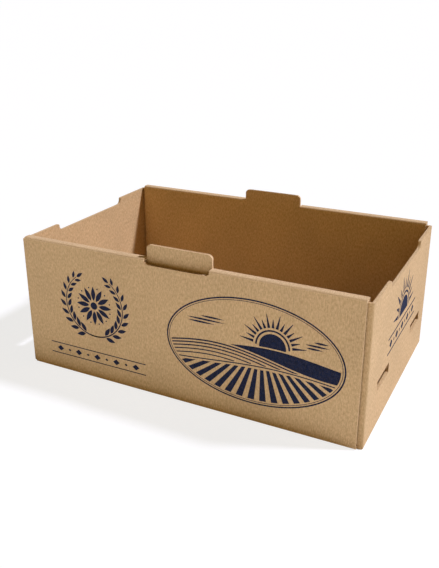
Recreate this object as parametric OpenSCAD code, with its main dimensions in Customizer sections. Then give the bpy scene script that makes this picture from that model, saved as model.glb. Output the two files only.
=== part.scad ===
// Produce tray folded from one die-cut sheet of corrugated board.
// X runs along the long walls, Y from front to rear, Z up from the underside of the floor.

/* [Tray] */
// Length over the end walls
tray_l = 400; // [320:1:600]
// Width over the long walls
tray_w = 259; // [220:1:400]
// Height to the top of the rolled rims
tray_h = 156; // [100:1:250]

/* [Board] */
// Thickness of the corrugated board
board = 3; // [2.4:0.1:4]
// Outside radius of a crease
crease_r = 2; // [0.5:0.1:2.2]
// Slack left between plies that lie on each other
ply_gap = 0.45; // [0.3:0.05:0.8]
// Length of board that one crease takes up
crease_gain = 1.3; // [0.5:0.1:2]

/* [Rolled long walls] */
// Gap between the ends of the rolled walls and the inside of the end walls
wall_end_gap = 3.2; // [1:0.1:8]
// Width of each lock tongue at the foot of the inner ply
lock_w = 40; // [20:1:60]
// Distance of the lock tongues from the middle of the wall
lock_x = 110; // [80:1:135]
// Play of a lock tongue in its floor slot
lock_clear = 0.3; // [0.2:0.05:0.6]

/* [Stacking tabs] */
// Width of a stacking tab
tab_w = 75; // [40:1:100]
// Height of a stacking tab above the rim
tab_h = 13.5; // [11:0.5:30]
// Corner radius of a stacking tab
tab_r = 5; // [1:0.5:8]
// Play of a stacking tab in the floor slot of the tray above
stack_clear = 1; // [0.8:0.1:2]

/* [End walls] */
// Gap between the corner flaps and the rim strip above them
flap_clear = 1; // [0.4:0.1:6]
// Length of the corner flaps that run inside the rolled walls
flap_l = 90; // [40:1:140]
// Size of the corners cut off at the free ends of the flaps
flap_chamfer = 14; // [5:1:30]
// Width of the recess in the top edge
recess_w = 133; // [60:1:170]
// Depth of the recess
recess_d = 8; // [4:0.5:30]
// Radius at the bottom corners of the recess
recess_r = 6; // [1:0.5:12]
// Radius at the top corners of the recess
recess_lip_r = 2; // [0.5:0.5:3]
// Length of a vent
vent_l = 45; // [15:1:60]
// Height of a vent
vent_h = 11.2; // [5:0.2:20]
// Height of the vents above the underside
vent_z = 43.4; // [15:0.2:60]
// Distance between the middles of the two vents
vent_pitch = 141; // [80:1:150]
// Shift of the pair of vents towards the rear
vent_shift = 4; // [-10:1:10]

/* [Hidden] */
$fn = 64;

// Overrun of every cut past the face that it leaves
overrun = 1;
// Share of the board that a crease radius may take
crease_limit_share = 0.9;
// Plies in a rolled wall: outer ply, corner flap and inner ply
rolled_plies = 3;
// Colour of the unbleached liner
kraft = [0.69, 0.57, 0.42];

fold_r = min(crease_r, board * crease_limit_share);
rim_depth = rolled_plies * board + (rolled_plies - 1) * ply_gap;
wall_l = tray_l - 2 * (board + wall_end_gap);
flap_face = tray_w / 2 - board - ply_gap;
inner_face = tray_w / 2 - rim_depth;
inner_back = inner_face + board;
end_h = tray_h - board - flap_clear;
foot_z = board + ply_gap;
notch_d = tab_h - rim_depth + 2 * crease_gain;
slot_w = tab_w + 2 * stack_clear;

// Plate drawn in X and Z, from y to y + thick
module upright_plate(y, thick) {
    translate([0, y + thick, 0])
        rotate([90, 0, 0])
            linear_extrude(thick) children();
}

// Prism drawn in Y and Z, from x to x + length
module lengthwise_prism(x, length) {
    translate([x, 0, 0])
        rotate([90, 0, 90])
            linear_extrude(length) children();
}

// Rectangle that stands on the X axis with its two top corners rounded
module tab_outline(w, h, r) {
    corner = min(r, h);
    translate([-w / 2, 0]) square([w, h - corner]);
    translate([corner - w / 2, 0]) square([w - 2 * corner, h]);
    for (side = [-1, 1])
        translate([side * (w / 2 - corner), h - corner]) circle(r = corner);
}

// Section of the front wall in Y and Z: strip of floor, outer ply, rim strip and inner ply
module rolled_section() {
    translate([-tray_w / 2, 0])
        difference() {
            union() {
                translate([0, fold_r]) square([rim_depth, tray_h - 2 * fold_r]);
                translate([fold_r, 0]) square([rim_depth - fold_r, fold_r]);
                translate([fold_r, tray_h - fold_r]) square([rim_depth - 2 * fold_r, fold_r]);
                translate([fold_r, fold_r]) circle(r = fold_r);
                for (y = [fold_r, rim_depth - fold_r])
                    translate([y, tray_h - fold_r]) circle(r = fold_r);
            }
            translate([board, board]) square([rim_depth - 2 * board, tray_h - 2 * board]);
            translate([board, board]) square([rim_depth, ply_gap]);
        }
}

// Space that a stacking tab leaves in the outer ply and rim strip that it was cut from
module tab_cutout() {
    upright_plate(-tray_w / 2 - overrun, board + overrun)
        translate([0, tray_h + overrun])
            mirror([0, 1])
                tab_outline(tab_w, notch_d + overrun, tab_r);
    upright_plate(-tray_w / 2, rim_depth - board)
        translate([-tab_w / 2, tray_h - board - overrun])
            square([tab_w, board + 2 * overrun]);
}

// Tab that carries on upwards from the inner ply
module stacking_tab() {
    upright_plate(-inner_back, board)
        translate([0, tray_h - board])
            tab_outline(tab_w, board + tab_h, tab_r);
}

// Slot in the floor and relief in the inner ply, for the tab of a tray below
module stacking_slot() {
    upright_plate(-inner_back - stack_clear, board + 2 * stack_clear)
        translate([-slot_w / 2, -overrun])
            square([slot_w, foot_z + overrun]);
    upright_plate(-inner_back - ply_gap, board + ply_gap + overrun)
        translate([0, board])
            tab_outline(slot_w, tab_h + stack_clear - board, tab_r);
}

// Tongues that run down from the inner ply into the floor
module lock_tongues() {
    upright_plate(-inner_back, board)
        for (side = [-1, 1])
            translate([side * lock_x - lock_w / 2, lock_clear])
                square([lock_w, foot_z + board - lock_clear]);
}

// Floor slots around the lock tongues
module lock_slots() {
    upright_plate(-inner_back - lock_clear, board + 2 * lock_clear)
        for (side = [-1, 1])
            translate([side * lock_x - lock_w / 2 - lock_clear, -overrun])
                square([lock_w + 2 * lock_clear, foot_z + overrun]);
}

// Front wall, rolled over the corner flaps
module rolled_wall() {
    difference() {
        lengthwise_prism(-wall_l / 2, wall_l) rolled_section();
        tab_cutout();
    }
    stacking_tab();
}

// Recess outline in Y and Z, measured down from the top edge of an end wall
module recess_outline() {
    neck_w = recess_w - 2 * recess_lip_r;
    mirror([0, 1]) tab_outline(neck_w, recess_d, min(recess_r, recess_d - recess_lip_r));
    translate([-recess_w / 2, 0]) square([recess_w, overrun]);
    difference() {
        translate([-recess_w / 2, -recess_lip_r]) square([recess_w, recess_lip_r]);
        for (side = [-1, 1])
            translate([side * recess_w / 2, -recess_lip_r]) circle(r = recess_lip_r);
    }
}

// Plan of the right end wall and its two corner flaps
module end_plan() {
    translate([tray_l / 2, 0])
        difference() {
            union() {
                translate([-flap_l, -flap_face]) square([flap_l - fold_r, 2 * flap_face]);
                translate([-flap_l, fold_r - flap_face]) square([flap_l, 2 * (flap_face - fold_r)]);
                for (side = [-1, 1])
                    translate([-fold_r, side * (flap_face - fold_r)]) circle(r = fold_r);
            }
            translate([-flap_l - overrun, board - flap_face])
                square([flap_l + overrun - board, 2 * (flap_face - board)]);
        }
}

// Waste outside the round of the crease between the floor and the right end wall
module foot_crease_waste() {
    upright_plate(-tray_w / 2, tray_w)
        difference() {
            translate([tray_l / 2 - fold_r, -overrun]) square([fold_r + overrun, fold_r + overrun]);
            translate([tray_l / 2 - fold_r, fold_r]) circle(r = fold_r);
        }
}

// Corners cut off at the free ends of the right end wall's flaps, so that they slide into the fold
module flap_corner_waste() {
    upright_plate(-tray_w / 2, tray_w)
        for (z = [foot_z, end_h])
            translate([tray_l / 2 - flap_l, z]) circle(r = flap_chamfer, $fn = 4);
}

// Right end wall with its corner flaps, recess and vents
module end_wall() {
    difference() {
        linear_extrude(end_h) end_plan();
        translate([tray_l / 2 - flap_l - overrun, -tray_w / 2, -overrun])
            cube([flap_l + overrun - board, tray_w, foot_z + overrun]);
        foot_crease_waste();
        flap_corner_waste();
        lengthwise_prism(tray_l / 2 - board - overrun, board + 2 * overrun) {
            translate([0, end_h]) recess_outline();
            for (side = [-1, 1])
                translate([vent_shift + side * vent_pitch / 2 - vent_l / 2, vent_z])
                    square([vent_l, vent_h]);
        }
    }
}

// Floor between the creases
module floor_panel() {
    translate([fold_r - tray_l / 2, -flap_face, 0])
        cube([tray_l - 2 * fold_r, 2 * flap_face, board]);
}

module tray() {
    color(kraft) {
        difference() {
            union() {
                floor_panel();
                for (rear = [0, 1]) mirror([0, rear, 0]) rolled_wall();
                for (left = [0, 1]) mirror([left, 0, 0]) end_wall();
            }
            for (rear = [0, 1]) mirror([0, rear, 0]) {
                stacking_slot();
                lock_slots();
            }
        }
        for (rear = [0, 1]) mirror([0, rear, 0]) lock_tongues();
    }
}

tray();
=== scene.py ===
import math

import bmesh
import bpy
from mathutils import Matrix, Vector


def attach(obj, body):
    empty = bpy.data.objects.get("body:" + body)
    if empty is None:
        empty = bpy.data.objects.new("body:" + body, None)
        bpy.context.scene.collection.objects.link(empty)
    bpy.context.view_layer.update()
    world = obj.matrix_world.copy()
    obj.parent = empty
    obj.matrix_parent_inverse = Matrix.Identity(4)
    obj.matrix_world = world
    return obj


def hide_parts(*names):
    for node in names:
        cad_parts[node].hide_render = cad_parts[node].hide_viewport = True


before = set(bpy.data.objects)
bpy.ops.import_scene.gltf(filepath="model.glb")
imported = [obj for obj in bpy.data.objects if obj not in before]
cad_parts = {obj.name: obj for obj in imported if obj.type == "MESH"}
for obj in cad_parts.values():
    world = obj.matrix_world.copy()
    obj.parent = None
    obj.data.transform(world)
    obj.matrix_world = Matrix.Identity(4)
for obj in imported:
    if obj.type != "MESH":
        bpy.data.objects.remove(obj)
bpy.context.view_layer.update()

# Lengths are in millimetres, as in the part's source, and become metres through MM
MM = 0.001
X, Y, Z = Vector((1, 0, 0)), Vector((0, 1, 0)), Vector((0, 0, 1))

# The tray, with the sizes of the part's source
TRAY_L, TRAY_W, TRAY_H = 400.0, 259.0, 156.0
BOARD, PLY_SLACK, CREASE_GAIN = 3.0, 0.45, 1.3
WALL_END_GAP, FLAP_CLEAR = 3.2, 1.0
LOCK_X, LOCK_W, LOCK_CLEAR = 110.0, 40.0, 0.3
TAB_W, TAB_H, TAB_R = 75.0, 13.5, 5.0
STACK_CLEAR = 1.0
RECESS_W, RECESS_D = 133.0, 8.0
VENT_L, VENT_H, VENT_Z = 45.0, 11.2, 43.4
VENT_PITCH, VENT_SHIFT = 141.0, 4.0

# Places that follow from those sizes, as in the part's source
RIM_DEPTH = 3 * BOARD + 2 * PLY_SLACK
WALL_END = TRAY_L / 2 - BOARD - WALL_END_GAP
FLAP_FACE = TRAY_W / 2 - BOARD - PLY_SLACK
INNER_FACE = TRAY_W / 2 - RIM_DEPTH
INNER_BACK = INNER_FACE + BOARD
END_H = TRAY_H - BOARD - FLAP_CLEAR
NOTCH_Z = TRAY_H - (TAB_H - RIM_DEPTH + 2 * CREASE_GAIN)
SLOT_W = TAB_W + 2 * STACK_CLEAR
VENT_Y = (VENT_SHIFT - VENT_PITCH / 2, VENT_SHIFT + VENT_PITCH / 2)

# Middles of the board in an outer ply, an inner ply, a rim strip and an end wall
OUTER_MIDDLE = TRAY_W / 2 - BOARD / 2
INNER_MIDDLE = INNER_FACE + BOARD / 2
STRIP_MIDDLE = TRAY_H - BOARD / 2
END_MIDDLE = TRAY_L / 2 - BOARD / 2

# The corrugated board: two liners with a waved medium between them
LINER = 0.5
MEDIUM = 0.45
FLUTE_PITCH = 6.35
CORE = BOARD / 2 - LINER
WAVE = CORE - MEDIUM / 2

# The photograph's frame and the camera that was fitted to the tray's corners in it
PHOTO_W, PHOTO_H = 439, 568
CAM_AZ, CAM_EL, CAM_ROLL = 27.516, 20.661, -0.316
CAM_TARGET, CAM_DIST = (-29.09, 0.0, 111.23), 838.85
CAM_FOCAL_PX, CAM_CENTRE_PX = 707.87, (209.58, 261.17)
SENSOR = 36.0
# What the camera sees, from and to a distance in metres
CLIP_NEAR, CLIP_FAR = 0.01, 400.0


def srgb(r, g, b):
    """Linear colour of an sRGB colour given in 0 to 255."""
    def channel(c):
        c /= 255
        return c / 12.92 if c <= 0.04045 else ((c + 0.055) / 1.055) ** 2.4
    return (channel(r), channel(g), channel(b), 1.0)


def scaled(colour, factor):
    """Colour that is darker or lighter by a factor."""
    return tuple(factor * c for c in colour[:3]) + (1.0,)


# Materials

# Paper of each kind: middle, dark and light tone
LINER_TONES = srgb(208, 174, 126), srgb(181, 147, 100), srgb(227, 196, 151)
EDGE_TONES = srgb(216, 183, 137), srgb(190, 157, 111), srgb(234, 206, 163)
FLUTE_TONES = srgb(172, 138, 94), srgb(140, 108, 70), srgb(196, 162, 118)
# Paler paper: rolled or rubbed on the folds, and a painted highlight on the rim's top and the tabs
RUBBED_AND_HIGHLIGHT_TONES = srgb(222, 189, 143), srgb(196, 162, 116), srgb(240, 211, 169)
# Ink, its thin and thick layers as factors, and paper that shows through it
INK_TONE, INK_LEVELS, INKED_PAPER_TONE = srgb(22, 33, 60), (0.72, 1.3), srgb(150, 128, 100)

# Noise on the sheet: scale, detail and roughness
CLOUD_NOISE, MOTTLE_NOISE = (0.018, 2.0, 0.55), (0.3, 3.0, 0.6)
GRAIN_NOISE, FINE_NOISE = (0.85, 3.0, 0.62), (3.2, 2.0, 0.6)
STREAK_NOISE = (2.4, 1.0, 0.55)
# How the noise is drawn out along the grain, and the shift from one layer of streaks to the next
GRAIN_SHAPE, FINE_SHAPE = (3.0, 1.0, 1.0), (2.0, 1.0, 1.0)
STREAK_SHAPE, STREAK_SHIFT = (10.0, 1.0, 1.0), (31.0, 17.0)
# Pale and dark fibres: from and to which level of the noise they show, and their angles in degrees
PALE_FIBRES = 0.55, 0.72, (6.0, -28.0, 63.0)
DARK_FIBRES = 0.62, 0.74, (-12.0, 36.0)
# Specks: shape and angle of a cell, scale, from and to which radius they fade, and which cells have one
SPECK_SHAPE, SPECK_ANGLE, SPECK_SCALE = (2.2, 1.0, 1.0), 20.0, 0.2
SPECK_FADE, SPECK_CHOICE = (0.05, 0.09), (0.6, 0.7)

# Weights of the fields in the paper's tone and in its relief
TONE_WEIGHTS = {"grain": 0.6, "mottle": 0.25, "fine": 0.15}
RELIEF_WEIGHTS = {"fine": 0.7, "fibre": 0.5, "grain": 0.6, "ghost": 0.12}
# Levels of a field from and to which a look changes
TONE_SPAN, CLOUD_SPAN, MOTTLE_SPAN = (0.36, 0.64), (0.3, 0.7), (0.2, 0.8)
INK_SPAN, MISSED_SPAN = (0.3, 0.7), (0.56, 0.78)
# Lightness that the clouds give to the paper, and the painted shade of the washboard ridges over the flutes
# below
CLOUD_LEVELS, FLUTE_SHADE_SHARE = (0.96, 1.04), 0.007
# Shares of the middle tone, of the marks on the paper, and of the paper that shows through the ink
BASE_SHARE, FIBRE_SHARE, HAIR_SHARE, SPECK_SHARE = 0.3, 0.2, 0.35, 0.5
MISSED_SHARE, BARE_FIBRE_SHARE = 0.25, 0.12
# Specks as a factor of the dark tone
SPECK_LEVEL = 0.6
PAPER_ROUGHNESS, INK_ROUGHNESS = (0.8, 0.95), (0.7, 0.85)
PAPER_SHINE, INK_SHINE = 0.2, 0.05
# Strength of the relief, and its height in metres
PAPER_BUMP, INK_BUMP = 0.35, 0.3
BUMP_HEIGHT = 0.00012
# Colour sockets of a mix node: the two that it mixes, and its result
MIX_FIRST, MIX_SECOND, MIX_RESULT = 6, 7, 2


class Shader:
    """The nodes of a material or a world, with short ways to add and join them."""

    def __init__(self, owner):
        owner.use_nodes = True
        self.owner = owner
        self.tree = owner.node_tree
        self.tree.nodes.clear()

    def add(self, kind, **settings):
        node = self.tree.nodes.new(kind)
        for key, value in settings.items():
            setattr(node, key, value)
        return node

    def put(self, socket, value):
        if isinstance(value, bpy.types.NodeSocket):
            self.tree.links.new(value, socket)
        else:
            socket.default_value = value

    def math(self, operation, *values, clamp=False):
        node = self.add("ShaderNodeMath", operation=operation, use_clamp=clamp)
        for socket, value in zip(node.inputs, values):
            self.put(socket, value)
        return node.outputs[0]

    def times(self, field, factor):
        return self.math("MULTIPLY", field, factor)

    def weigh(self, fields, weights):
        """Sum of fields, each times its weight."""
        total = None
        for name, weight in weights.items():
            part = self.times(fields[name], weight)
            total = part if total is None else self.math("ADD", total, part)
        return total

    def stretch(self, vector, scale, turn=0.0):
        node = self.add("ShaderNodeMapping", vector_type="TEXTURE")
        self.put(node.inputs["Vector"], vector)
        node.inputs["Rotation"].default_value = (0, 0, math.radians(turn))
        node.inputs["Scale"].default_value = scale
        return node.outputs[0]

    def noise(self, vector, scale, detail, rough):
        node = self.add("ShaderNodeTexNoise")
        self.put(node.inputs["Vector"], vector)
        node.inputs["Scale"].default_value = scale
        node.inputs["Detail"].default_value = detail
        node.inputs["Roughness"].default_value = rough
        return node.outputs[0]

    def span(self, value, low, high, to_low=0.0, to_high=1.0):
        node = self.add("ShaderNodeMapRange", interpolation_type="SMOOTHSTEP")
        for socket, v in zip(node.inputs, (value, low, high, to_low, to_high)):
            self.put(socket, v)
        return node.outputs[0]

    def mix(self, share, a, b, blend="MIX"):
        node = self.add("ShaderNodeMix", data_type="RGBA", blend_type=blend)
        self.put(node.inputs[0], share)
        self.put(node.inputs[MIX_FIRST], a)
        self.put(node.inputs[MIX_SECOND], b)
        return node.outputs[MIX_RESULT]

    def grey(self, level):
        node = self.add("ShaderNodeCombineColor")
        for socket in node.inputs:
            self.put(socket, level)
        return node.outputs[0]

    def bump(self, height, strength, distance):
        node = self.add("ShaderNodeBump")
        self.put(node.inputs["Height"], height)
        node.inputs["Strength"].default_value = strength
        node.inputs["Distance"].default_value = distance
        return node.outputs[0]

    def finish(self, colour, roughness, normal, specular):
        surface = self.add("ShaderNodeBsdfPrincipled")
        self.put(surface.inputs["Base Color"], colour)
        self.put(surface.inputs["Roughness"], roughness)
        self.put(surface.inputs["Normal"], normal)
        surface.inputs["Specular IOR Level"].default_value = specular
        out = self.add("ShaderNodeOutputMaterial")
        self.put(out.inputs[0], surface.outputs[0])
        return self.owner


def streaks(shader, flat, low, high, turns):
    """Thin streaks at several angles."""
    found = None
    for i, turn in enumerate(turns):
        moved = shader.add("ShaderNodeVectorMath", operation="ADD")
        shader.put(moved.inputs[0], flat)
        moved.inputs[1].default_value = (STREAK_SHIFT[0] * i + turn, STREAK_SHIFT[1] * i - turn, 0.0)
        streak = shader.noise(shader.stretch(moved.outputs[0], STREAK_SHAPE, turn), *STREAK_NOISE)
        streak = shader.span(streak, low, high)
        found = streak if found is None else shader.math("MAXIMUM", found, streak)
    return found


def specks(shader, flat):
    """Small flecks in some cells of a scattered pattern."""
    cell = shader.add("ShaderNodeTexVoronoi", feature="F1")
    shader.put(cell.inputs["Vector"], shader.stretch(flat, SPECK_SHAPE, SPECK_ANGLE))
    cell.inputs["Scale"].default_value = SPECK_SCALE
    near = shader.span(cell.outputs["Distance"], *SPECK_FADE, 1.0, 0.0)
    chosen = shader.add("ShaderNodeSeparateColor")
    shader.put(chosen.inputs[0], cell.outputs["Color"])
    return shader.times(near, shader.span(chosen.outputs[0], *SPECK_CHOICE))


def paper_layers(shader):
    """Fields that every paper surface shares: cloud, mottle, grain, fibres, specks and flute ghosts.

    The attribute holds the place on the sheet in mm: along the grain, across it, and across the flutes.
    """
    sheet = shader.add("ShaderNodeAttribute", attribute_name="sheet").outputs["Vector"]
    parts = shader.add("ShaderNodeSeparateXYZ")
    shader.put(parts.inputs[0], sheet)
    joined = shader.add("ShaderNodeCombineXYZ")
    shader.put(joined.inputs[0], parts.outputs[0])
    shader.put(joined.inputs[1], parts.outputs[1])
    flat = joined.outputs[0]
    flutes = shader.times(parts.outputs[2], 2 * math.pi / FLUTE_PITCH)
    return {
        "cloud": shader.noise(flat, *CLOUD_NOISE),
        "mottle": shader.noise(flat, *MOTTLE_NOISE),
        "grain": shader.noise(shader.stretch(flat, GRAIN_SHAPE), *GRAIN_NOISE),
        "fine": shader.noise(shader.stretch(flat, FINE_SHAPE), *FINE_NOISE),
        "fibre": streaks(shader, flat, *PALE_FIBRES),
        "hair": streaks(shader, flat, *DARK_FIBRES),
        "speck": specks(shader, flat),
        "ghost": shader.math("SINE", flutes),
    }


def kraft_material(name, tones):
    """Unbleached kraft paper: brown, with pale and dark fibres and a painted shade of the flutes' ridges
    below.
    """
    base, dark, light = tones
    shader = Shader(bpy.data.materials.new(name))
    fields = paper_layers(shader)
    tone = shader.weigh(fields, TONE_WEIGHTS)
    colour = shader.mix(shader.span(tone, *TONE_SPAN), dark, light)
    colour = shader.mix(BASE_SHARE, colour, base)
    cloudy = shader.span(fields["cloud"], *CLOUD_SPAN, *CLOUD_LEVELS)
    # Painted shade: faint light and dark bands over the flutes below
    cloudy = shader.math("ADD", cloudy, shader.times(fields["ghost"], FLUTE_SHADE_SHARE))
    colour = shader.mix(1.0, colour, shader.grey(cloudy), "MULTIPLY")
    marks = (("fibre", FIBRE_SHARE, light), ("hair", HAIR_SHARE, dark),
             ("speck", SPECK_SHARE, scaled(dark, SPECK_LEVEL)))
    for field, share, shade in marks:
        colour = shader.mix(shader.times(fields[field], share), colour, shade)
    roughness = shader.span(fields["mottle"], *MOTTLE_SPAN, *PAPER_ROUGHNESS)
    relief = shader.bump(shader.weigh(fields, RELIEF_WEIGHTS), PAPER_BUMP, BUMP_HEIGHT)
    return shader.finish(colour, roughness, relief, PAPER_SHINE)


def ink_material(name, ink, paper):
    """Flexo ink: dark, matt, with the paper's fibres showing through in places."""
    shader = Shader(bpy.data.materials.new(name))
    fields = paper_layers(shader)
    layers = [scaled(ink, level) for level in INK_LEVELS]
    colour = shader.mix(shader.span(fields["mottle"], *INK_SPAN), *layers)
    missed = shader.times(shader.span(fields["fine"], *MISSED_SPAN), MISSED_SHARE)
    missed = shader.math("MAXIMUM", missed, shader.times(fields["fibre"], BARE_FIBRE_SHARE))
    colour = shader.mix(missed, colour, paper)
    roughness = shader.span(fields["mottle"], *MOTTLE_SPAN, *INK_ROUGHNESS)
    relief = shader.bump(shader.weigh(fields, RELIEF_WEIGHTS), INK_BUMP, BUMP_HEIGHT)
    return shader.finish(colour, roughness, relief, INK_SHINE)


# Flutes that are cut into the board's raw edges

# Places of the board's materials: plain liner, cut edge, inside of a flute, and rolled or rubbed paper, which
# also serves as a painted highlight on the rim's top and the tabs
LINER_SLOT, EDGE_SLOT, FLUTE_SLOT, RUBBED_AND_HIGHLIGHT_SLOT = 0, 1, 2, 3

# How far a cutter starts outside the edge that it cuts
PROUD = 0.3
# Sections of a flute that is cut lengthwise: across the board, and out of its edge
WORN_FLUTE = ((-0.3, PROUD), (0.85, PROUD), (0.8, -0.9), (0.3, -0.7), (-0.25, -0.2))
GAPING_FLUTE = ((-0.2, PROUD), (1.55, PROUD), (1.55, -9.0), (0.2, -9.0), (-0.15, -1.2))
CRUSHED_FLUTE = ((0.72, PROUD), (1.15, PROUD), (1.15, -0.35), (0.95, -0.35), (0.75, -0.1))
# Steps along one flute that is cut across, and the narrowest space that is cut
FLUTE_STEPS, LEAST_SPACE = 14, 0.06
# Length at each end of an edge that stays free of flutes
EDGE_MARGIN = 0.2

# Depths of the flutes that are cut across
FRONT_TAB_FLUTES, REAR_TAB_FLUTES, NOTCH_FLUTES = 0.12, 0.45, 5.0
RELIEF_FLUTES, TONGUE_FLUTES, SLOT_FLUTES = 2.2, 3.0, 2.5
VENT_FLUTES, RECESS_FLUTES = 0.25, 0.5
# How far the cutters of a recess's round ends start outside them
RECESS_PROUD = 2.2
# Flutes in a recess's round ends: height above its foot, distance past its corner, and outer or inner liner
RECESS_END_FLUTES = ((2.4, 1.4, 1), (5.4, 3.2, -1))

# Distances that the cuts keep from folds, plies and corners
FOOT_GAP, INNER_FOOT_GAP, RIM_GAP = 3.2, 4.2, 3.4
PLY_GAP, STRIP_OUTER_GAP, STRIP_INNER_GAP = 2.0, 1.6, 2.2
TAB_FOOT_GAP, TAB_CORNER_GAP = 0.5, 0.4
LIP_GAP, CORNER_GAP, CREASE_GAP = 0.5, 0.6, 3.2


def add_mesh(name, vertices, faces, materials):
    """Object of a mesh that is given in millimetres."""
    mesh = bpy.data.meshes.new(name)
    mesh.from_pydata([Vector(v) * MM for v in vertices], [], faces)
    mesh.update()
    for material in materials:
        mesh.materials.append(material)
    obj = bpy.data.objects.new(name, mesh)
    bpy.context.scene.collection.objects.link(obj)
    return obj


def flute_curve():
    """Upper side of one wave of the medium, as places along and across the board."""
    points = []
    for i in range(FLUTE_STEPS + 1):
        s = (i / FLUTE_STEPS - 0.5) * FLUTE_PITCH
        turn = 2 * math.pi * s / FLUTE_PITCH
        slope = WAVE * 2 * math.pi / FLUTE_PITCH * math.sin(turn)
        t = -WAVE * math.cos(turn) + MEDIUM / 2 * math.hypot(1, slope)
        if t < CORE - LEAST_SPACE:
            points.append((s, t))
    return points


class Cutters:
    """Closed prisms that are gathered into one mesh and cut from the board together."""

    def __init__(self):
        self.vertices, self.faces, self.slots = [], [], []

    def prism(self, outline, sweep, slot):
        """Sweeps a closed outline of points along a vector, and leaves a material on what it cuts."""
        first, n = len(self.vertices), len(outline)
        self.vertices += outline
        self.vertices += [p + sweep for p in outline]
        area = Vector((0, 0, 0))
        for i in range(n):
            area += outline[i].cross(outline[(i + 1) % n])
        ahead = area.dot(sweep) > 0
        low = list(range(first, first + n))
        high = list(range(first + n, first + 2 * n))
        self.faces += [low[::-1], high] if ahead else [low, high[::-1]]
        for i in range(n):
            j = (i + 1) % n
            quad = [low[i], low[j], high[j], high[i]]
            self.faces.append(quad if ahead else quad[::-1])
        self.slots += [slot] * (n + 2)

    def channel(self, start, along, across, out, middle, side, depth, reach=PROUD, slot=FLUTE_SLOT):
        """One flute's open end: the space between a crest of the medium and the liner across from it."""
        points = flute_curve()
        outline = [*points, (points[-1][0], CORE), (points[0][0], CORE)]
        places = [start + along * (middle + s) + across * (t * side) + out * reach for s, t in outline]
        self.prism(places, -out * (depth + reach), slot)

    def wave(self, start, end, across, out, depth, margin=EDGE_MARGIN, slot=FLUTE_SLOT):
        """Flutes that are cut across, along a straight raw edge."""
        start, end = Vector(start), Vector(end)
        along = (end - start).normalized()
        length = (end - start).length
        half = FLUTE_PITCH / 2
        count = int((length - 2 * margin) / half) - 1
        first = (length - (count - 1) * half) / 2
        for i in range(count):
            middle, side = first + i * half, 1 - 2 * (i % 2)
            self.channel(start, along, across, out, middle, side, depth, slot=slot)

    def groove(self, start, end, across, out, section):
        """One flute that is cut lengthwise, along a straight raw edge."""
        start, end = Vector(start), Vector(end)
        outline = [start + across * t + out * d for t, d in section]
        self.prism(outline, end - start, EDGE_SLOT if section is CRUSHED_FLUTE else FLUTE_SLOT)


def cut_wall_end(cutters, side, end):
    """Raw end of a rolled wall: its outer ply, inner ply and rim strip."""
    outer, inner, strip = side * OUTER_MIDDLE, side * INNER_MIDDLE, STRIP_MIDDLE
    x, out = end * WALL_END, X * end
    top = TRAY_H - RIM_GAP
    cutters.groove((x, outer, FOOT_GAP), (x, outer, top), Y * -side, out, GAPING_FLUTE)
    cutters.groove((x, inner, INNER_FOOT_GAP), (x, inner, top), Y * side, out, WORN_FLUTE)
    near, far = outer - side * PLY_GAP, inner + side * PLY_GAP
    cutters.groove((x, near, strip), (x, far, strip), Z, out, WORN_FLUTE)


def cut_tab_side(cutters, side, end):
    """Side of a stacking tab, and the end of the rim strip that it was cut from."""
    outer, inner, strip = side * OUTER_MIDDLE, side * INNER_MIDDLE, STRIP_MIDDLE
    x, out = end * TAB_W / 2, X * end
    low, top = TRAY_H + TAB_FOOT_GAP, TRAY_H + TAB_H - TAB_R - TAB_CORNER_GAP
    cutters.groove((x, inner, low), (x, inner, top), Y, out, CRUSHED_FLUTE)
    near, far = outer - side * STRIP_OUTER_GAP, inner + side * STRIP_INNER_GAP
    cutters.groove((x, near, strip), (x, far, strip), Z, -out, WORN_FLUTE)


def cut_tab_top(cutters, side):
    """Top of a stacking tab, which is rubbed smooth in front and there has the paler paper as a painted
    highlight, and the notch that the tab left.
    """
    outer, inner = side * OUTER_MIDDLE, side * INNER_MIDDLE
    half, top = TAB_W / 2 - TAB_R, TRAY_H + TAB_H
    depth, slot = (FRONT_TAB_FLUTES, RUBBED_AND_HIGHLIGHT_SLOT) if side < 0 else (REAR_TAB_FLUTES, FLUTE_SLOT)
    cutters.wave((-half, inner, top), (half, inner, top), Y, Z, depth, slot=slot)
    cutters.wave((-half, outer, NOTCH_Z), (half, outer, NOTCH_Z), Y, Z, NOTCH_FLUTES)


def cut_wall_foot(cutters, side):
    """Foot of an inner ply, with its relief and lock tongues, and the floor slot for a tab from below."""
    inner = side * INNER_MIDDLE
    half, top = SLOT_W / 2 - TAB_R, TAB_H + STACK_CLEAR
    cutters.wave((-half, inner, top), (half, inner, top), Y, -Z, RELIEF_FLUTES)
    for end in (-1, 1):
        low, high = end * LOCK_X - LOCK_W / 2, end * LOCK_X + LOCK_W / 2
        cutters.wave((low, inner, LOCK_CLEAR), (high, inner, LOCK_CLEAR), Y, -Z, TONGUE_FLUTES)
    half, middle = SLOT_W / 2, BOARD / 2
    for y, way in ((INNER_FACE - STACK_CLEAR, 1), (INNER_BACK + STACK_CLEAR, -1)):
        edge = side * y
        cutters.wave((-half, edge, middle), (half, edge, middle), Z, Y * side * way, SLOT_FLUTES)


def cut_recess(cutters, side):
    """Top of an end wall, and the recess in it."""
    x, across = side * END_MIDDLE, X * side
    foot = END_H - RECESS_D
    low, top = RECESS_W / 2 - RECESS_D, RECESS_W / 2
    cutters.groove((x, CORNER_GAP - low, foot), (x, low - CORNER_GAP, foot), across, Z, CRUSHED_FLUTE)
    for end in (-1, 1):
        near, far = end * (top + LIP_GAP), end * (FLAP_FACE - CREASE_GAP)
        cutters.groove((x, near, END_H), (x, far, END_H), across, Z, CRUSHED_FLUTE)
        for height, past, liner in RECESS_END_FLUTES:
            start = Vector((x, end * (low + past), foot + height))
            cutters.channel(start, Z, across, Y * -end, 0.0, liner, RECESS_FLUTES, RECESS_PROUD)


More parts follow.
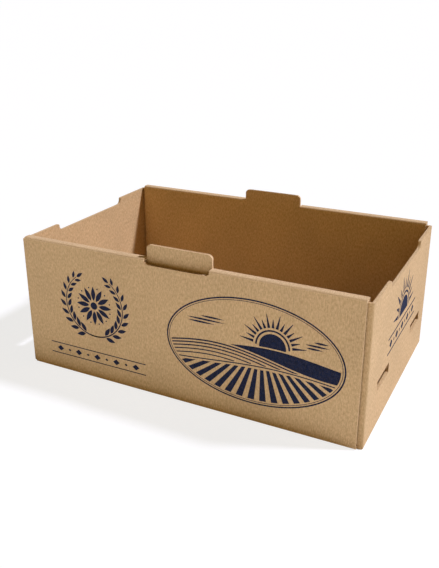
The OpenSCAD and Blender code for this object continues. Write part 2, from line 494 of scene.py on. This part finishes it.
def cut_vent(cutters, side, y):
    """Ends and sills of a vent."""
    x, across = side * END_MIDDLE, X * side
    half, top = VENT_L / 2, VENT_Z + VENT_H
    near, far = y - half + CORNER_GAP, y + half - CORNER_GAP
    for end, z in ((-1, VENT_Z), (1, top)):
        edge = y + end * half
        cutters.wave((x, edge, VENT_Z), (x, edge, top), across, Y * -end, VENT_FLUTES, margin=0.0)
        cutters.groove((x, near, z), (x, far, z), across, Z * -end, CRUSHED_FLUTE)


def gather_cutters():
    """Cutters for all raw edges: front and left are side -1, rear and right are side 1."""
    cutters = Cutters()
    for side in (-1, 1):
        for end in (-1, 1):
            cut_wall_end(cutters, side, end)
            cut_tab_side(cutters, side, end)
        cut_tab_top(cutters, side)
        cut_wall_foot(cutters, side)
        cut_recess(cutters, side)
        for y in VENT_Y:
            cut_vent(cutters, side, y)
    return cutters


# The board

# A face lies at a place if it is nearer than this
NEAR = 0.1
# Share of a normal along an axis: more than the first looks along it, less than the second stands across it
FACING, ASIDE = 0.7, 0.5
# Share of a normal that still counts as level or upright
LEVEL = 0.0001
# Width that the round crease between an end wall and its corner flaps takes up
CREASE_ROUND = 2.2
# Points closer than this, in metres, are joined
SAME_POINT = 1e-6
# Below the first angle two faces are one flat face, and from there to the second they are a fold
FLAT_ANGLE, ROUND_ANGLE = math.radians(0.3), math.radians(32.0)
# A facet of a fold is smaller than this, in square mm, and a panel is larger
ROUND_AREA = 600.0
# Shift of the grain, along and across it, for each mm between two plies
PLY_SHIFT = (7.0, 3.0)


def slot_at(centre, normal):
    """Material of a face of the tray: paler where it is rolled or rubbed, paler as a painted highlight on the
    rim's top and on the tabs, and by kind where it is cut.
    """
    x, y, z = abs(centre.x), abs(centre.y), centre.z
    if abs(x - WALL_END) < NEAR and abs(normal.x) > FACING:
        return EDGE_SLOT
    if x > TRAY_L / 2 - BOARD - NEAR and abs(normal.x) < ASIDE and y < FLAP_FACE - CREASE_ROUND:
        if z > END_H - RECESS_D - NEAR:
            return EDGE_SLOT
        if VENT_Z - NEAR < z < VENT_Z + VENT_H + NEAR:
            return FLUTE_SLOT if abs(normal.y) > FACING else LINER_SLOT
    if x < TAB_W / 2 + NEAR and abs(normal.y) < ASIDE:
        # Tops and sides of the tabs: the paler paper as a painted highlight
        if z > TRAY_H + NEAR:
            return RUBBED_AND_HIGHLIGHT_SLOT
        relief = y > INNER_FACE - NEAR and NEAR < z < TAB_H + STACK_CLEAR + NEAR
        if z > NOTCH_Z - NEAR or relief:
            return EDGE_SLOT
    # The rim's top takes the paler paper as a painted highlight, and the bent folds take it as rolled paper
    rim = abs(z - TRAY_H) < NEAR
    bent = LEVEL < abs(normal.z) < 1 - LEVEL
    return RUBBED_AND_HIGHLIGHT_SLOT if rim or bent else LINER_SLOT


def copy_tray(materials):
    """Copy of the tray's solid, with a material on each face."""
    piece = bpy.data.objects.new("board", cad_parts["tray"].data.copy())
    bpy.context.scene.collection.objects.link(piece)
    piece.data.materials.clear()
    for material in materials:
        piece.data.materials.append(material)
    shape = bmesh.new()
    shape.from_mesh(piece.data)
    bmesh.ops.remove_doubles(shape, verts=shape.verts, dist=SAME_POINT)
    bmesh.ops.recalc_face_normals(shape, faces=shape.faces)
    for face in shape.faces:
        face.material_index = slot_at(face.calc_center_median() / MM, face.normal)
    shape.to_mesh(piece.data)
    shape.free()
    return piece


def cut_flutes(piece, materials):
    """Opens the flutes along the raw edges of the board."""
    cutters = gather_cutters()
    tool = add_mesh("flutes", cutters.vertices, cutters.faces, materials)
    tool.data.polygons.foreach_set("material_index", cutters.slots)
    cut = piece.modifiers.new("flutes", "BOOLEAN")
    cut.operation = "DIFFERENCE"
    cut.object = tool
    cut.solver = "MANIFOLD"
    bpy.context.view_layer.update()
    seen = piece.evaluated_get(bpy.context.evaluated_depsgraph_get())
    result = bpy.data.meshes.new_from_object(seen)
    piece.modifiers.clear()
    piece.data = result
    bpy.data.objects.remove(tool)


def tidy_faces(mesh):
    """Joins the triangles of each flat face, and smooths only the folds and round corners."""
    if "custom_normal" in mesh.attributes:
        mesh.attributes.remove(mesh.attributes["custom_normal"])
    shape = bmesh.new()
    shape.from_mesh(mesh)
    bmesh.ops.dissolve_limit(shape, angle_limit=FLAT_ANGLE, verts=shape.verts, edges=shape.edges,
                             delimit={"MATERIAL"})
    for face in shape.faces:
        face.smooth = False
    for edge in shape.edges:
        if FLAT_ANGLE < edge.calc_face_angle(0.0) < ROUND_ANGLE:
            for face in edge.link_faces:
                face.smooth = face.calc_area() < ROUND_AREA * MM * MM
        else:
            edge.smooth = False
    shape.to_mesh(mesh)
    shape.free()


def sheet_place(p, normal):
    """Place on the sheet, in mm: along the grain, across it, and across the flutes."""
    if abs(normal.x) > FACING:
        along, across, flutes, depth = p.z, p.y, p.z, p.x
    elif abs(normal.y) > FACING:
        along, across, flutes, depth = p.z, p.x, p.x, p.y
    else:
        along, across, flutes, depth = p.y, p.x, p.x, p.z
    return (along + PLY_SHIFT[0] * depth, across + PLY_SHIFT[1] * depth, flutes)


def lay_on_sheet(piece):
    """Writes each corner's place on the sheet, for the paper's material."""
    mesh = piece.data
    place = mesh.attributes.new("sheet", "FLOAT_VECTOR", "CORNER")
    for polygon in mesh.polygons:
        for loop in polygon.loop_indices:
            point = mesh.vertices[mesh.loops[loop].vertex_index].co / MM
            place.data[loop].vector = sheet_place(point, polygon.normal)


def make_board():
    """The tray's folded sheet, with the flutes open along its raw edges."""
    materials = [kraft_material("kraft_liner", LINER_TONES), kraft_material("kraft_cut_edge", EDGE_TONES),
                 kraft_material("kraft_medium", FLUTE_TONES), kraft_material("kraft_rubbed_and_highlight", RUBBED_AND_HIGHLIGHT_TONES)]
    board = copy_tray(materials)
    cut_flutes(board, materials)
    tidy_faces(board.data)
    lay_on_sheet(board)
    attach(board, "root")
    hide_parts("tray")


# Print

# How far a film of ink reaches into the board, and stands out of it
INK_SUNK, INK_PROUD = 0.1, 0.03
# Fewest points of a curve that are drawn, and least height that is drawn of the land and of a sun
LEAST_RUN, LEAST_LAND, LEAST_SUN = 5, 0.3, 0.1
# Steps across the land and a sun, along a stalk and a furrow, and round half of the frame
LAND_STEPS, SUN_STEPS, STALK_STEPS, FURROW_STEPS, FRAME_STEPS = 200, 80, 40, 60, 72

# The picture on the front: middle, half width and half height, and how far the land stays inside the frame
PICTURE, PICTURE_HALF, PICTURE_INSET = (84, 78), (96, 57), 5.0
# Lines of the frame: from and to which inset
FRAME_LINES = ((0.0, 1.6), (2.8, 3.4))
# Curves of the land: height, swing, shift and stretch of a cosine
RIDGE, SLOPE, FIELD = (3, 5, 22, 34), (-6, 9, -38, 40), (-18, 5, 30, 45)
# Bare gap between two parts of the land, and width of the line along the field's edge
LAND_GAP, FIELD_LINE = 1.6, 1.2
# Lines on the slope: number, drop from one to the next and how it grows
SLOPE_LINES, SLOPE_DROP, SLOPE_DROP_GROWTH = 8, 3.2, 0.15
# Width of the first line on the slope, what each line after it loses, and the least that is drawn
SLOPE_LINE, SLOPE_LINE_LOSS, SLOPE_LINE_LEAST = 1.6, 0.1, 0.6
# Furrows: number, point that they run from, and first angle and spread in half turns
FURROWS, FURROW_EYE, FURROW_FAN = 21, (10, 16), (1.02, 0.96)
# Half width of a furrow, as a share of a half turn divided by their number
FURROW_HALF = 0.27
# Clouds, from the picture's middle: place and width
CLOUDS = (((-50, 25), 44), ((67, 22), 24))
# Streaks of a cloud: shift in widths of the cloud, rise in mm, and length in widths of the cloud
CLOUD_STREAKS = ((0.0, 0.0, 1.0), (0.16, 3.6, 0.62), (-0.12, -3.4, 0.7))
CLOUD_STREAK_W = 2.0

# The picture's sun, from its middle, and the sun on the end: place, radius, number of rays and width of a ray
SUN, SUN_R, SUN_RAYS, SUN_RAY_W = (22, 11), 14, 15, 3.0
END_SUN, END_SUN_R, END_RAYS, END_RAY_W = (4, 92), 18, 11, 5.0
# Height of the ground under the sun on the end
END_GROUND = 90.0
# Ring and rays of a sun, in radii, and the bare gap between a sun and the ground
SUN_RING, SUN_REACH, SUN_GAP = (1.3, 1.17), (1.46, 2.5), 1.5
# Angles of the first and last ray in degrees, length of a short ray, and width of a tip, as shares
RAY_ANGLES, SHORT_RAY_SHARE, RAY_TIP_SHARE = (8.0, 172.0), 0.62, 1 / 6

# The badge on the front: middle, radius of the ears' stalks, and their angles in degrees
BADGE, EAR_R, EARS = (-104, 90), 37, ((-100, 54), (-80, -234))
# Half width of a stalk, and what it loses up to the tip
STALK_HALF, STALK_TAPER = 0.8, 0.4
# Grains of an ear: number, from where and over which share of the stalk, lean, and distance from the stalk
EAR_GRAINS, EAR_BARE, EAR_GROWN, GRAIN_LEAN, GRAIN_OFF = 9, 0.2, 0.76, 0.62, 1.5
# Length and width of the lowest grain and of the tip, what a grain loses up to the tip, and the tip's turn
GRAIN_SIZE, TIP_SIZE, GRAIN_TAPER, TIP_TURN = (12.5, 4.9), (10.0, 3.8), 0.3, 0.03
# How soon a grain is at its widest, and steps along it
GRAIN_FULLNESS, GRAIN_STEPS = 0.85, 9
# Rosette: radius and petals, and in radii its eye, a petal's root, length and width, and the ring of dots
ROSETTE_R, PETALS = 23, 12
EYE_SHARE, PETAL_SHARES, DOT_SHARES = 0.19, (0.27, 0.73, 0.24), (0.93, 0.04)
EYE_POINTS, DOT_POINTS = 24, 12

# Rules on the front and on the end: middle, width, distance apart and line
FRONT_RULES = (-104, 27), 128, 13, 1.1
END_RULES = (4, 76), 120, 17, 1.9
# Diamonds between two rules: number to each side, steps in the width, sizes in the distance, and shape
DIAMONDS, DIAMOND_STEPS = 4, 10
LARGE_DIAMOND, SMALL_DIAMOND, DIAMOND_SHAPE = 0.55, 0.25, 1.25


def front_panel(u, v, depth):
    return (u, -TRAY_W / 2 - depth, v)


def right_panel(u, v, depth):
    return (TRAY_L / 2 + depth, u, v)


def polar(centre, radius, angle):
    return (centre[0] + radius * math.cos(angle), centre[1] + radius * math.sin(angle))


def sweep_across(middle, reach, count):
    """Places across a round shape, closer together towards its two ends."""
    return [middle + reach * math.sin(math.pi * (i / count - 0.5)) for i in range(1, count)]


def runs(values, keep):
    """Stretches of neighbouring values that are kept."""
    found = [[]]
    for value in values:
        if keep(value):
            found[-1].append(value)
        elif found[-1]:
            found.append([])
    return [run for run in found if len(run) >= LEAST_RUN]


class Ink:
    """A film of ink on one panel, drawn as closed outlines in the panel's own u and v."""

    def __init__(self, place):
        self.place = place
        self.vertices, self.faces = [], []

    def shape(self, outline):
        """Filled outline."""
        n, first = len(outline), len(self.vertices)
        for depth in (-INK_SUNK, INK_PROUD):
            self.vertices += [self.place(u, v, depth) for u, v in outline]
        self.faces.append(list(range(first + n, first + 2 * n)))
        self.faces.append(list(range(first + n - 1, first - 1, -1)))
        for i in range(n):
            j = (i + 1) % n
            self.faces.append([first + i, first + j, first + n + j, first + n + i])

    def band(self, upper, lower):
        """Strip between two lines of points."""
        self.shape(list(upper) + list(lower)[::-1])

    def between(self, us, top, low, least=LEAST_LAND):
        """Area between two curves, wherever the first lies far enough above the second."""
        for run in runs(us, lambda u: top(u) - low(u) > least):
            self.band([(u, top(u)) for u in run], [(u, low(u)) for u in run])

    def disc(self, centre, radius, count):
        self.shape([polar(centre, radius, 2 * math.pi * i / count) for i in range(count)])

    def grain(self, root, angle, length, width):
        """Pointed oval that grows from its root, and is widest just before its middle."""
        steps = [i / GRAIN_STEPS for i in range(GRAIN_STEPS + 1)]
        along = [polar(root, length * i / GRAIN_STEPS, angle) for i in range(GRAIN_STEPS + 1)]
        half = [width / 2 * math.sin(math.pi * step ** GRAIN_FULLNESS) for step in steps]
        side = angle + math.pi / 2
        left = [polar(p, h, side) for p, h in zip(along, half)]
        right = [polar(p, -h, side) for p, h in zip(along, half)][1:-1]
        self.shape(left + right[::-1])

    def rule(self, u0, u1, v, width):
        low, high = v - width / 2, v + width / 2
        self.shape([(u0, low), (u1, low), (u1, high), (u0, high)])

    def diamond(self, centre, width, height):
        u, v = centre
        self.shape([(u - width / 2, v), (u, v - height / 2), (u + width / 2, v), (u, v + height / 2)])

    def piece(self, name, material):
        """Piece of the scene that holds all the outlines."""
        made = add_mesh(name, self.vertices, self.faces, [material])
        shape = bmesh.new()
        shape.from_mesh(made.data)
        bmesh.ops.recalc_face_normals(shape, faces=shape.faces)
        shape.to_mesh(made.data)
        shape.free()
        lay_on_sheet(made)
        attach(made, "root")


class Oval:
    """Frame of a picture."""

    def __init__(self, centre, half):
        self.centre = centre
        self.half_u, self.half_v = half

    def rise(self, u, inset):
        """Half of the height at u, inside a line that is inset from the frame."""
        share = (u - self.centre[0]) / (self.half_u - inset)
        return (self.half_v - inset) * math.sqrt(max(1 - share * share, 0.0))

    def top(self, u, inset):
        return self.centre[1] + self.rise(u, inset)

    def low(self, u, inset):
        return self.centre[1] - self.rise(u, inset)

    def clip(self, v, u, inset):
        """Height v at u, kept inside the frame."""
        return min(max(v, self.low(u, inset)), self.top(u, inset))

    def point(self, angle, inset):
        return (self.centre[0] + (self.half_u - inset) * math.cos(angle),
                self.centre[1] + (self.half_v - inset) * math.sin(angle))

    def draw(self, ink, outer, inner):
        """Line round the frame, in two halves so that each half is one closed outline."""
        for turn in (0.0, math.pi):
            angles = [turn + math.pi * i / FRAME_STEPS for i in range(FRAME_STEPS + 1)]
            ink.band([self.point(t, outer) for t in angles], [self.point(t, inner) for t in angles])


def draw_rays(ink, centre, near, far, count, width):
    """Tapered rays of a half circle, long and short in turn."""
    first, last = RAY_ANGLES
    for i in range(count):
        t = math.radians(first + (last - first) * i / (count - 1))
        reach = far if i % 2 == 0 else near + SHORT_RAY_SHARE * (far - near)
        root, tip = width / 2 / near, width / 2 * RAY_TIP_SHARE / reach
        ink.shape([polar(centre, near, t - root), polar(centre, reach, t - tip),
                   polar(centre, reach, t + tip), polar(centre, near, t + root)])


def draw_sun(ink, centre, radius, ground, rays, ray_width):
    """Disc and ring as far as they show above the ground, and rays."""
    u0, v0 = centre

    def dome(u, r):
        return math.sqrt(max(r * r - (u - u0) ** 2, 0.0))

    for outer, inner in ((radius, 0.0), (radius * SUN_RING[0], radius * SUN_RING[1])):
        floor = lambda u: v0 + dome(u, inner) if inner else v0 - dome(u, outer)
        ink.between(sweep_across(u0, outer, SUN_STEPS), lambda u: v0 + dome(u, outer),
                    lambda u: max(floor(u), ground(u) + SUN_GAP), LEAST_SUN)
    draw_rays(ink, centre, radius * SUN_REACH[0], radius * SUN_REACH[1], rays, ray_width)


def draw_rosette(ink, centre, radius, petals):
    """Flower of pointed petals, with a ring of dots round it."""
    root, length, width = (radius * share for share in PETAL_SHARES)
    ring, dot = (radius * share for share in DOT_SHARES)
    ink.disc(centre, radius * EYE_SHARE, EYE_POINTS)
    for i in range(petals):
        t = 2 * math.pi * i / petals
        ink.grain(polar(centre, root, t), t, length, width)
        ink.disc(polar(centre, ring, t + math.pi / petals), dot, DOT_POINTS)


def draw_stalk(ink, centre, radius, start, end):
    """Stalk that follows part of a circle and tapers towards its end."""
    angles, halves = [], []
    for i in range(STALK_STEPS + 1):
        angles.append(math.radians(start + (end - start) * i / STALK_STEPS))
        halves.append(STALK_HALF - STALK_TAPER * i / STALK_STEPS)
    ink.band([polar(centre, radius + h, t) for h, t in zip(halves, angles)],
             [polar(centre, radius - h, t) for h, t in zip(halves, angles)])


def draw_ear(ink, centre, radius, start, end, grains):
    """Ear of grain whose stalk follows part of a circle, from and to angles in degrees."""
    draw_stalk(ink, centre, radius, start, end)
    way = math.copysign(1.0, end - start)
    length, width = GRAIN_SIZE
    for i in range(grains):
        t = math.radians(start + (end - start) * (EAR_BARE + EAR_GROWN * i / (grains - 1)))
        size = 1.0 - GRAIN_TAPER * i / (grains - 1)
        for side in (-1, 1):
            root = polar(centre, radius + side * GRAIN_OFF, t)
            angle = t + way * (math.pi / 2 - side * GRAIN_LEAN)
            ink.grain(root, angle, length * size, width * size)
    tip = math.radians(end)
    ink.grain(polar(centre, radius, tip + way * TIP_TURN), tip + way * math.pi / 2, *TIP_SIZE)


def draw_rules(ink, centre, width, apart, line):
    """Two plain rules with a row of large and small diamonds between them."""
    u, v = centre
    for side in (-1, 1):
        ink.rule(u - width / 2, u + width / 2, v + side * apart / 2, line)
    for i in range(-DIAMONDS, DIAMONDS + 1):
        size = apart * (SMALL_DIAMOND if i % 2 else LARGE_DIAMOND)
        ink.diamond((u + i * width / DIAMOND_STEPS, v), size * DIAMOND_SHAPE, size)


def draw_cloud(ink, centre, width):
    """Streaks of cloud: flat lens shapes."""
    u, v = centre
    for shift, rise, share in CLOUD_STREAKS:
        root = (u + width * (shift - share / 2), v + rise)
        ink.grain(root, 0.0, width * share, CLOUD_STREAK_W)


def land_curve(oval, curve):
    """Height of one curve of the land, as a function of u."""
    height, swing, shift, stretch = curve
    u0, v0 = oval.centre
    return lambda u: v0 + height + swing * math.cos((u - u0 - shift) / stretch)


def draw_hills(ink, oval, ridge, slope, field):
    """Dark far ridge, lines along the near slope, and the edge of the field."""
    inset, half = PICTURE_INSET, FIELD_LINE / 2
    us = sweep_across(oval.centre[0], oval.half_u - inset, LAND_STEPS)
    base = lambda u: oval.low(u, inset)
    ink.between(us, lambda u: oval.clip(ridge(u), u, inset), lambda u: max(slope(u) + LAND_GAP, base(u)))
    for k in range(SLOPE_LINES):
        drop = SLOPE_DROP * k + SLOPE_DROP_GROWTH * k * k
        line = SLOPE_LINE - SLOPE_LINE_LOSS * k
        crest = lambda u: slope(u) - drop
        foot = lambda u: max(crest(u) - line, field(u) + LAND_GAP, base(u))
        ink.between(us, lambda u: oval.clip(crest(u), u, inset), foot, SLOPE_LINE_LEAST)
    ink.between(us, lambda u: oval.clip(field(u) + half, u, inset),
                lambda u: oval.clip(field(u) - half, u, inset))


def draw_furrows(ink, oval, field):
    """Furrows that fan out from one point, from the edge of the field to the frame."""
    eye_u, eye_v = oval.centre[0] + FURROW_EYE[0], oval.centre[1] + FURROW_EYE[1]
    gap = LAND_GAP + FIELD_LINE / 2
    first, spread = FURROW_FAN
    shares = [i / FURROW_STEPS for i in range(FURROW_STEPS + 1)]
    for k in range(FURROWS):
        t = math.pi * (first + spread * (k + 0.5) / FURROWS)
        half = math.pi * FURROW_HALF / FURROWS
        ends = [oval.point(t + side * half, PICTURE_INSET) for side in (-1, 1)]
        tops = []
        for u, v in ends:
            line = [(eye_u + (u - eye_u) * share, eye_v + (v - eye_v) * share) for share in shares]
            below = [p for p in line if p[1] < field(p[0]) - gap]
            tops.append(below[0] if below else None)
        if None not in tops:
            ink.shape([tops[0], tops[1], ends[1], ends[0]])


def draw_picture(ink, oval):
    """Sunrise over ploughed hills, inside an oval frame."""
    u0, v0 = oval.centre
    ridge, slope, field = (land_curve(oval, curve) for curve in (RIDGE, SLOPE, FIELD))
    for outer, inner in FRAME_LINES:
        oval.draw(ink, outer, inner)
    draw_hills(ink, oval, ridge, slope, field)
    draw_furrows(ink, oval, field)
    sun = (u0 + SUN[0], v0 + SUN[1])
    draw_sun(ink, sun, SUN_R, lambda u: max(ridge(u), slope(u)), SUN_RAYS, SUN_RAY_W)
    for (u, v), width in CLOUDS:
        draw_cloud(ink, (u0 + u, v0 + v), width)


def make_print():
    """Generic print: a sunrise over fields and a badge of grain on the front, and a sun on the end."""
    material = ink_material("navy_ink", INK_TONE, INKED_PAPER_TONE)
    front = Ink(front_panel)
    draw_picture(front, Oval(PICTURE, PICTURE_HALF))
    for start, end in EARS:
        draw_ear(front, BADGE, EAR_R, start, end, EAR_GRAINS)
    draw_rosette(front, BADGE, ROSETTE_R, PETALS)
    draw_rules(front, *FRONT_RULES)
    front.piece("print_front", material)
    side = Ink(right_panel)
    draw_sun(side, END_SUN, END_SUN_R, lambda u: END_GROUND, END_RAYS, END_RAY_W)
    draw_rules(side, *END_RULES)
    side.piece("print_end", material)


# Stage

# The floor: half its width, how far it lies below the tray, and its own tone
FLOOR_HALF, FLOOR_DROP, FLOOR_ALBEDO = 120000.0, 0.2, 0.75
# How the floor looks to the camera: the share that takes shadows, and the brightness of the rest
FLOOR_SHADOW_SHARE, FLOOR_GLOW = 0.35, 1.21
# The light of the sky, and the white that the camera sees in its place
SKY_STRENGTH, SKY_TINT = 0.1, (1.0, 0.65, 0.14)
WHITE = (1.0, 1.0, 1.0, 1.0)
# The key: strength and tint, direction that it comes from, and width of its disc in degrees
KEY_STRENGTH, KEY_TINT = 3.08, (1.0, 1.02, 1.23)
KEY_FROM, KEY_SOFTNESS = (0.62, 0.275, 0.735), 6.0
# Lamps in watts and metres: a cool card that lies on the floor in front, and a warm softbox beyond it
CARD_WATTS, CARD_SIZE, CARD_PLACE = 6.2, (2.4, 1.6), (0.4, -0.94, 0.002)
CARD_FROM, CARD_TINT = (0.0, 0.0, -1.0), (1.0, 1.12, 1.3)
FILL_WATTS, FILL_SIZE, FILL_PLACE = 4.0, (2.0, 0.9), (0.3, -1.6, 0.6)
FILL_TINT = (1.0, 0.72, 0.3)


def make_camera():
    """Camera that sees the tray as the photograph does."""
    az, el, roll = (math.radians(a) for a in (CAM_AZ, CAM_EL, CAM_ROLL))
    back = Vector((math.sin(az) * math.cos(el), -math.cos(az) * math.cos(el), math.sin(el)))
    right = Vector((math.cos(az), math.sin(az), 0))
    up = back.cross(right)
    right, up = (right * math.cos(roll) + up * math.sin(roll),
                 up * math.cos(roll) - right * math.sin(roll))
    data = bpy.data.cameras.new("camera")
    data.sensor_fit = "VERTICAL"
    data.sensor_width = SENSOR
    data.sensor_height = SENSOR
    data.lens = CAM_FOCAL_PX / PHOTO_H * SENSOR
    data.shift_x = (PHOTO_W / 2 - CAM_CENTRE_PX[0]) / PHOTO_H
    data.shift_y = (CAM_CENTRE_PX[1] - PHOTO_H / 2) / PHOTO_H
    data.clip_start = CLIP_NEAR
    data.clip_end = CLIP_FAR
    cam = bpy.data.objects.new("camera", data)
    bpy.context.scene.collection.objects.link(cam)
    place = Matrix((right, up, back)).transposed().to_4x4()
    place.translation = (Vector(CAM_TARGET) + back * CAM_DIST) * MM
    cam.matrix_world = place
    bpy.context.scene.camera = cam


def background_rays(shader):
    """Is Camera, Glossy or Transmission Ray, as one factor."""
    path = shader.add("ShaderNodeLightPath")
    seen = shader.math("ADD", path.outputs["Is Camera Ray"], path.outputs["Is Glossy Ray"])
    return shader.math("ADD", seen, path.outputs["Is Transmission Ray"], clamp=True)


def beside_tray(shader):
    """1 on the floor beside the tray, and 0 under it."""
    place = shader.add("ShaderNodeSeparateXYZ")
    shader.put(place.inputs[0], shader.add("ShaderNodeNewGeometry").outputs["Position"])
    beyond = []
    for axis, size in enumerate((TRAY_L, TRAY_W)):
        distance = shader.math("ABSOLUTE", place.outputs[axis])
        beyond.append(shader.math("GREATER_THAN", distance, (size / 2 - BOARD) * MM))
    return shader.math("MAXIMUM", *beyond)


def floor_material():
    """White that keeps a soft shadow, and is dark where it shows through the tray's floor slots."""
    shader = Shader(bpy.data.materials.new("floor"))
    diffuse = shader.add("ShaderNodeBsdfDiffuse")
    diffuse.inputs["Color"].default_value = (FLOOR_ALBEDO,) * 3 + (1.0,)
    glow = shader.add("ShaderNodeEmission")
    glow.inputs["Strength"].default_value = FLOOR_GLOW
    share = shader.times(background_rays(shader), 1 - FLOOR_SHADOW_SHARE)
    both = shader.add("ShaderNodeMixShader")
    shader.put(both.inputs[0], shader.times(share, beside_tray(shader)))
    shader.put(both.inputs[1], diffuse.outputs[0])
    shader.put(both.inputs[2], glow.outputs[0])
    out = shader.add("ShaderNodeOutputMaterial")
    shader.put(out.inputs[0], both.outputs[0])
    return shader.owner


def make_floor():
    """Floor that reaches past every view."""
    half = FLOOR_HALF
    corners = [(-half, -half, 0), (half, -half, 0), (half, half, 0), (-half, half, 0)]
    floor = add_mesh("floor", corners, [(0, 1, 2, 3)], [floor_material()])
    floor.location.z = -FLOOR_DROP * MM


def add_lamp(name, kind, energy, source, **settings):
    """Lamp whose light comes from the given direction."""
    data = bpy.data.lights.new(name, kind)
    data.energy = energy
    for key, value in settings.items():
        setattr(data, key, value)
    lamp = bpy.data.objects.new(name, data)
    bpy.context.scene.collection.objects.link(lamp)
    lamp.rotation_mode = "QUATERNION"
    lamp.rotation_quaternion = Vector(source).to_track_quat("Z", "Y")
    lamp.visible_camera = False
    return lamp


def add_panel(name, watts, size, place, source, tint):
    """Flat rectangular lamp."""
    lamp = add_lamp(name, "AREA", watts, source, color=tint, shape="RECTANGLE", size=size[0], size_y=size[1])
    lamp.location = place


def make_lamps():
    """Key from the right, behind and above, a card that lights the front from below, and a level softbox."""
    add_lamp("key", "SUN", KEY_STRENGTH, KEY_FROM, angle=math.radians(KEY_SOFTNESS), color=KEY_TINT)
    add_panel("card", CARD_WATTS, CARD_SIZE, CARD_PLACE, CARD_FROM, CARD_TINT)
    add_panel("fill", FILL_WATTS, FILL_SIZE, FILL_PLACE, (*FILL_PLACE[:2], 0.0), FILL_TINT)


def make_sky():
    """Weak warm light from all round, in front of a white background."""
    world = bpy.data.worlds.new("studio")
    bpy.context.scene.world = world
    shader = Shader(world)
    sky = shader.add("ShaderNodeBackground")
    light = scaled(SKY_TINT, SKY_STRENGTH)
    shader.put(sky.inputs["Color"], shader.mix(background_rays(shader), light, WHITE))
    out = shader.add("ShaderNodeOutputWorld")
    shader.put(out.inputs[0], sky.outputs[0])


make_board()
make_print()
make_floor()
make_lamps()
make_sky()
make_camera()
bpy.context.scene.view_settings.view_transform = "Standard"
